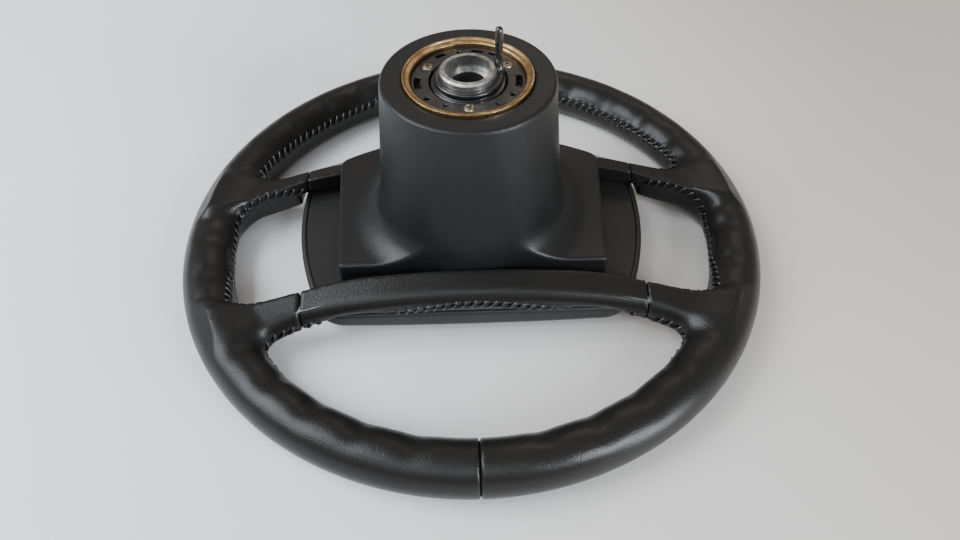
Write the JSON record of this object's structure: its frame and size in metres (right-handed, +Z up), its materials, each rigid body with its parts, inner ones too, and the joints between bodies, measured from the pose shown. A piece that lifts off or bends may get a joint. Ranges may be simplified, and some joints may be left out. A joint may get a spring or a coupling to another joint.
{
  "type": "steering wheel",
  "caption": "Leather-wrapped four-spoke steering wheel with a springy horn pad and a deep splined column hub carrying a slip ring and a cancelling finger.",
  "frame": {"origin": "centre of the rim, on the plane the wheel lies on face down", "axes": "+Z up the hub towards the steering column, +Y towards the top of the wheel, +X towards the right seen from the column side"},
  "size_m": [0.38, 0.38, 0.1695],
  "materials": {
    "steel": "turned, lightly oiled",
    "cast_aluminium": "as cast",
    "foam": "integral skin foam",
    "leather": "fine grain, satin, worn",
    "shroud_plastic": "fine moulded grain",
    "brass": "turned, rubbed by the contact",
    "carrier_plastic": "moulded",
    "zinc_screws": "zinc plated",
    "collar_plastic": "moulded, polished by use",
    "pad_skin": "soft grained skin",
    "badge_plastic": "plain",
    "tray_plastic": "moulded",
    "spring_steel": "drawn wire"
  },
  "bodies": {
    "wheel": {"rim_core": "steel", "spoke_frame": "cast_aluminium", "hub_sleeve": "steel", "rim_foam": "foam", "lower_band_foam": "foam", "upper_band_foam": "foam", "rim_leather_left": "leather", "rim_leather_right": "leather", "lower_band_leather": "leather", "upper_band_leather": "leather", "hub_shroud": "shroud_plastic", "slip_ring": "brass", "contact_carrier": "carrier_plastic", "carrier_screws": "zinc_screws", "cancelling_collar": "collar_plastic", "shroud_screws": "zinc_screws", "guide_bushes": "collar_plastic", "fixed_contact": "brass", "contact_insulator": "carrier_plastic", "return_springs": "spring_steel"},
    "horn_pad": {"pad_cover": "pad_skin", "pad_badge": "badge_plastic", "pad_foam": "foam", "pad_tray": "tray_plastic", "guide_pins": "steel", "pin_clips": "zinc_screws", "contact_plate": "steel", "contact_studs": "brass", "pad_screws": "zinc_screws"}
  },
  "joints": [
    {"name": "horn_press", "type": "slide", "parent": "wheel", "child": "horn_pad", "axis": [0, 0, 1], "range_m": [0, 0.0025], "stiffness_N_per_m": 8000, "springref_m": -0.003, "deforming": ["return_springs"]}
  ]
}
